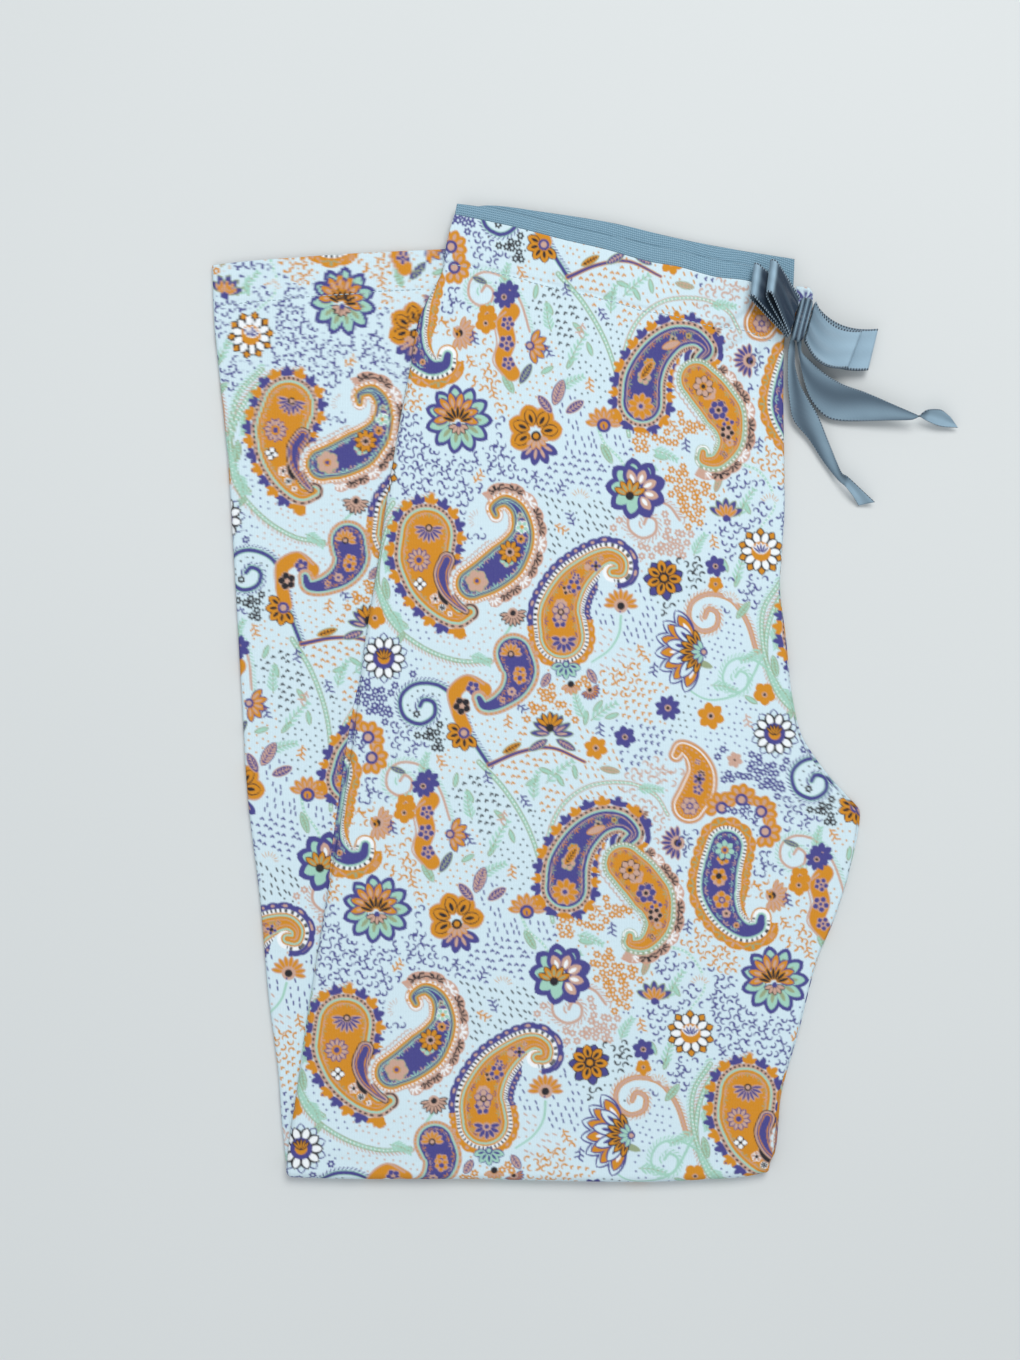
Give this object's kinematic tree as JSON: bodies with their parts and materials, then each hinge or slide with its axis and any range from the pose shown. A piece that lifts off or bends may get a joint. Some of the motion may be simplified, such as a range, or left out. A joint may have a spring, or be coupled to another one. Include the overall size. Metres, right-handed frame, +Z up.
{
  "type": "folded pyjama bottoms",
  "caption": "Printed pyjama bottoms folded leg on leg and once across, lying flat, with an elastic waist and a satin ribbon bow.",
  "frame": {"origin": "On the surface the trousers lie on, under the middle of the part's bounding box.", "axes": "+X towards the centre front and crotch, +Y towards the waist, +Z up from the surface."},
  "size_m": [0.413, 0.5398, 0.0285],
  "materials": {
    "printed_jersey": "matte",
    "elastic": "matte",
    "satin_ribbon": "satin"
  },
  "bodies": {
    "root": {"top_leg_front_panel": "printed_jersey", "under_leg_front_panel": "printed_jersey", "other_front_waist_corner": "printed_jersey", "hidden_layers": "printed_jersey", "waist_elastic_near": "elastic", "waist_elastic_far": "elastic", "bow_knot": "satin_ribbon", "bow_loop_left_lower": "satin_ribbon", "bow_loop_left_upper": "satin_ribbon", "bow_loop_right_lower": "satin_ribbon", "bow_loop_right_upper": "satin_ribbon", "bow_tail_right": "satin_ribbon", "bow_tail_down": "satin_ribbon"}
  },
  "joints": []
}
